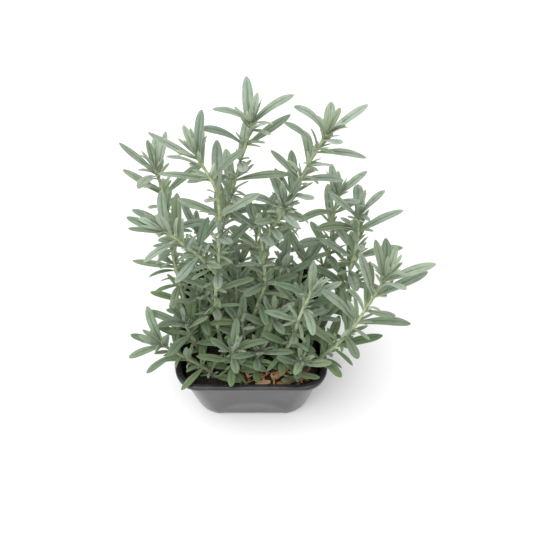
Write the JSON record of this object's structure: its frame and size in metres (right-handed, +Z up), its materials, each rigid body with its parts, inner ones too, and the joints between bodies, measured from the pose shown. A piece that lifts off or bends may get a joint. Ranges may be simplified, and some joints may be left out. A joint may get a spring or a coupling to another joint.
{
  "type": "potted spanish lavender",
  "caption": "Young Spanish lavender without flowers, with narrow grey-green leaves, in a shallow square black plastic pot of soil.",
  "frame": {"origin": "middle of the pot's base, on the surface that the pot stands on", "axes": "+Z up, +X to the right as the picture shows it, -Y towards the viewer"},
  "size_m": [0.1677, 0.0973, 0.2137],
  "materials": {
    "pot_plastic": "moulded, semi-gloss black",
    "soil": "damp, crumbly peat soil",
    "bark": "rough, dry",
    "foliage": "matt, felted"
  },
  "bodies": {
    "root": {"pot": "pot_plastic", "soil": "soil", "bark_chip_1": "bark", "bark_chip_2": "bark", "bark_chip_3": "bark", "bark_chip_4": "bark", "bark_chip_5": "bark", "bark_chip_6": "bark", "bark_chip_7": "bark", "stem_back_tall": "foliage", "stem_left_tall": "foliage", "stem_far_left": "foliage", "stem_centre": "foliage", "stem_back_right": "foliage", "stem_right": "foliage", "stem_far_right": "foliage", "stem_front_right": "foliage", "stem_low_left": "foliage", "shoot_left_low": "foliage", "shoot_left": "foliage", "shoot_front_left": "foliage", "shoot_front": "foliage", "shoot_front_right": "foliage", "shoot_middle_left": "foliage", "shoot_middle": "foliage", "shoot_middle_right": "foliage", "shoot_inner_left": "foliage", "shoot_inner_right": "foliage", "shoot_inner_back": "foliage", "shoot_right": "foliage", "shoot_centre_back": "foliage", "shoot_right_back": "foliage", "shoot_back": "foliage", "shoot_back_right": "foliage", "shoot_back_left": "foliage"}
  },
  "joints": []
}
